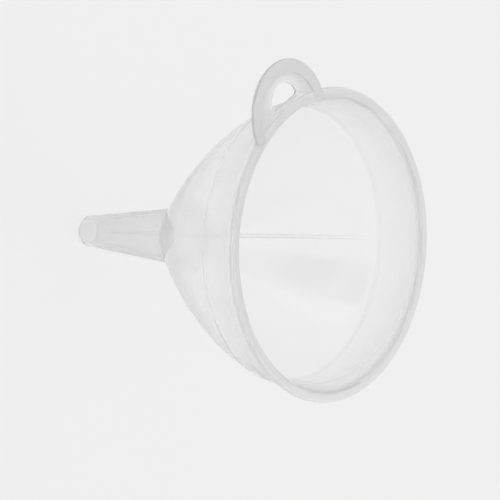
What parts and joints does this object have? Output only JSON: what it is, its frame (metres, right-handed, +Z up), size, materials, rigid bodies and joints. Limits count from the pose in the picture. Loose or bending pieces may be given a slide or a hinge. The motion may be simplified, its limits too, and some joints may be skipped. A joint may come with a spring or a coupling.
{
  "type": "kitchen funnel",
  "caption": "Translucent moulded kitchen funnel: tapered spout, rounded bowl, short collar, flat rim flange and a flat hanging loop with a D-shaped hole.",
  "frame": {"origin": "on the funnel's axis in the plane of the spout tip", "axes": "+Z up the axis from the spout to the mouth, +X towards the hanging loop, +Y completes a right-handed frame"},
  "size_m": [0.1373, 0.12, 0.132],
  "materials": {
    "milky_plastic": "smooth, translucent, slightly milky polypropylene"
  },
  "bodies": {
    "root": {"spout": "milky_plastic", "throat": "milky_plastic", "bowl": "milky_plastic", "collar": "milky_plastic", "rim_flange": "milky_plastic", "loop_border": "milky_plastic", "loop_web": "milky_plastic", "bowl_rib": "milky_plastic", "spout_rib": "milky_plastic"}
  },
  "joints": []
}
